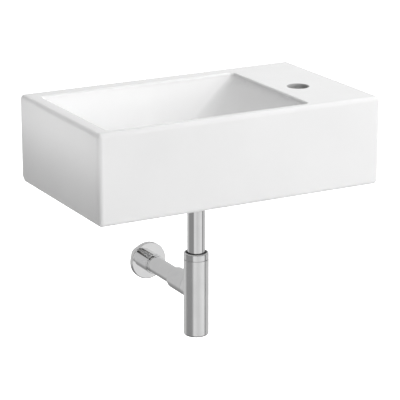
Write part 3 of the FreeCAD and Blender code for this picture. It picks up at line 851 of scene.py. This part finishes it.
middle = (0, -0.15, 0)
lamps = {
    "straight": {"at": (0.1, -3.4, 1.0), "to": middle, "wide": 1.6, "high": 1.6, "watts": 5},
    "frontRight": {"at": (1.4, -3.0, 1.2), "to": middle, "wide": 1.8, "high": 1.8, "watts": 46},
    "topRight": {"at": (1.8, -0.8, 2.2), "to": middle, "wide": 1.6, "high": 1.6, "watts": 25},
    "nearTop": {"at": (0.2, -0.2, 1.0), "to": middle, "wide": 0.6, "high": 0.6, "watts": 1.7},
    "behind": {"at": (1.0, 2.6, 1.4), "to": middle, "wide": 1.8, "high": 1.2, "watts": 42},
    # a small strip close to the left side, so that side grows darker downwards
    "leftStrip": {
        "at": (-0.375, -0.16, 0.102), "to": (-0.275, -0.16, 0.092), "wide": 0.44, "high": 0.04,
        "watts": 0.12,
    },
}
# tones by compass direction, at even steps round from the left through the front, for the light on things
surround = {"tones": (0.2, 0.3, 0.3, 0.4, 0.6, 0.1)}
# what polished metal reflects, by compass direction: (degrees from the right, tone)
shine = {
    # dark on the left, one wide light panel in front, a dark flag beside it, grey on the right and behind
    "stops": (
        (-180, 0.3), (-152, 0.3), (-140, 0.85), (-100, 0.7), (-60, 0.85), (-36, 0.85),
        (-31, 0.2), (-23, 0.2), (-18, 0.6), (130, 0.6), (145, 0.3), (180, 0.3),
    ),
    # downwards it fades from full to this tone
    "under": {"span": (-0.62, -0.36), "tone": 0.30},
    # a dark band above eye level in front, which blackens the sleeve beside the rosette
    "band": {"low": (0.36, 0.44), "high": (0.72, 0.84), "front": (-0.1, -0.3), "share": 0.92},
}


def makeLamp(name, values):
    data = bpy.data.lights.new(name, "AREA")
    data.shape = "RECTANGLE"
    data.size = values["wide"]
    data.size_y = values["high"]
    data.energy = values["watts"]
    lamp = bpy.data.objects.new(name, data)
    lamp.location = values["at"]
    way = Vector(values["to"]) - Vector(values["at"])
    lamp.rotation_euler = way.to_track_quat("-Z", "Y").to_euler()
    lamp.visible_camera = False
    lamp.visible_glossy = False
    bpy.context.scene.collection.objects.link(lamp)


for lampName, lampValues in lamps.items():
    makeLamp(lampName, lampValues)


def toneRing(tree, compass, stops):
    ring = tree.nodes.new("ShaderNodeValToRGB")
    bar = ring.color_ramp
    while len(bar.elements) < len(stops):
        bar.elements.new(0.5)
    for element, (at, tone) in zip(bar.elements, stops):
        element.position = at
        element.color = (tone, tone, tone, 1)
    tree.links.new(compass, ring.inputs["Fac"])
    return ring.outputs["Color"]


def makeWorld():
    world = bpy.data.worlds.new("world")
    bpy.context.scene.world = world
    world.use_nodes = True
    tree = world.node_tree
    tree.nodes.clear()
    out = tree.nodes.new("ShaderNodeOutputWorld")
    path = tree.nodes.new("ShaderNodeLightPath").outputs
    way = splitPlace(tree, tree.nodes.new("ShaderNodeTexCoord").outputs["Generated"])
    turn = sums(tree, "ARCTAN2", way["Y"], way["X"])
    compass = ramp(tree, turn, (-math.pi, math.pi))
    seen = put(tree, "ShaderNodeBackground", {"Color": (1, 1, 1)})

    tones = surround["tones"]
    ring = [(count / len(tones), tones[count % len(tones)]) for count in range(len(tones) + 1)]
    around = put(tree, "ShaderNodeBackground", {"Color": toneRing(tree, compass, ring)})

    mirror = toneRing(tree, compass, [((angle + 180) / 360, tone) for angle, tone in shine["stops"]])
    under = ramp(tree, way["Z"], shine["under"]["span"], shine["under"]["tone"])
    dark = shine["band"]
    inBand = sums(
        tree,
        "MULTIPLY",
        band(tree, way["Z"], dark["low"]),
        sums(tree, "SUBTRACT", 1.0, band(tree, way["Z"], dark["high"])),
    )
    inBand = sums(tree, "MULTIPLY", inBand, band(tree, way["Y"], dark["front"]))
    left = sums(tree, "SUBTRACT", 1.0, sums(tree, "MULTIPLY", inBand, dark["share"]))
    strength = sums(tree, "MULTIPLY", under, left)
    mirrored = put(tree, "ShaderNodeBackground", {"Color": mirror, "Strength": strength})

    lit = mixShaders(tree, path["Is Glossy Ray"], around, mirrored)
    tree.links.new(mixShaders(tree, path["Is Camera Ray"], lit, seen).outputs[0], out.inputs["Surface"])


makeWorld()
print("lamps and room made:", len(lamps), "lamps")
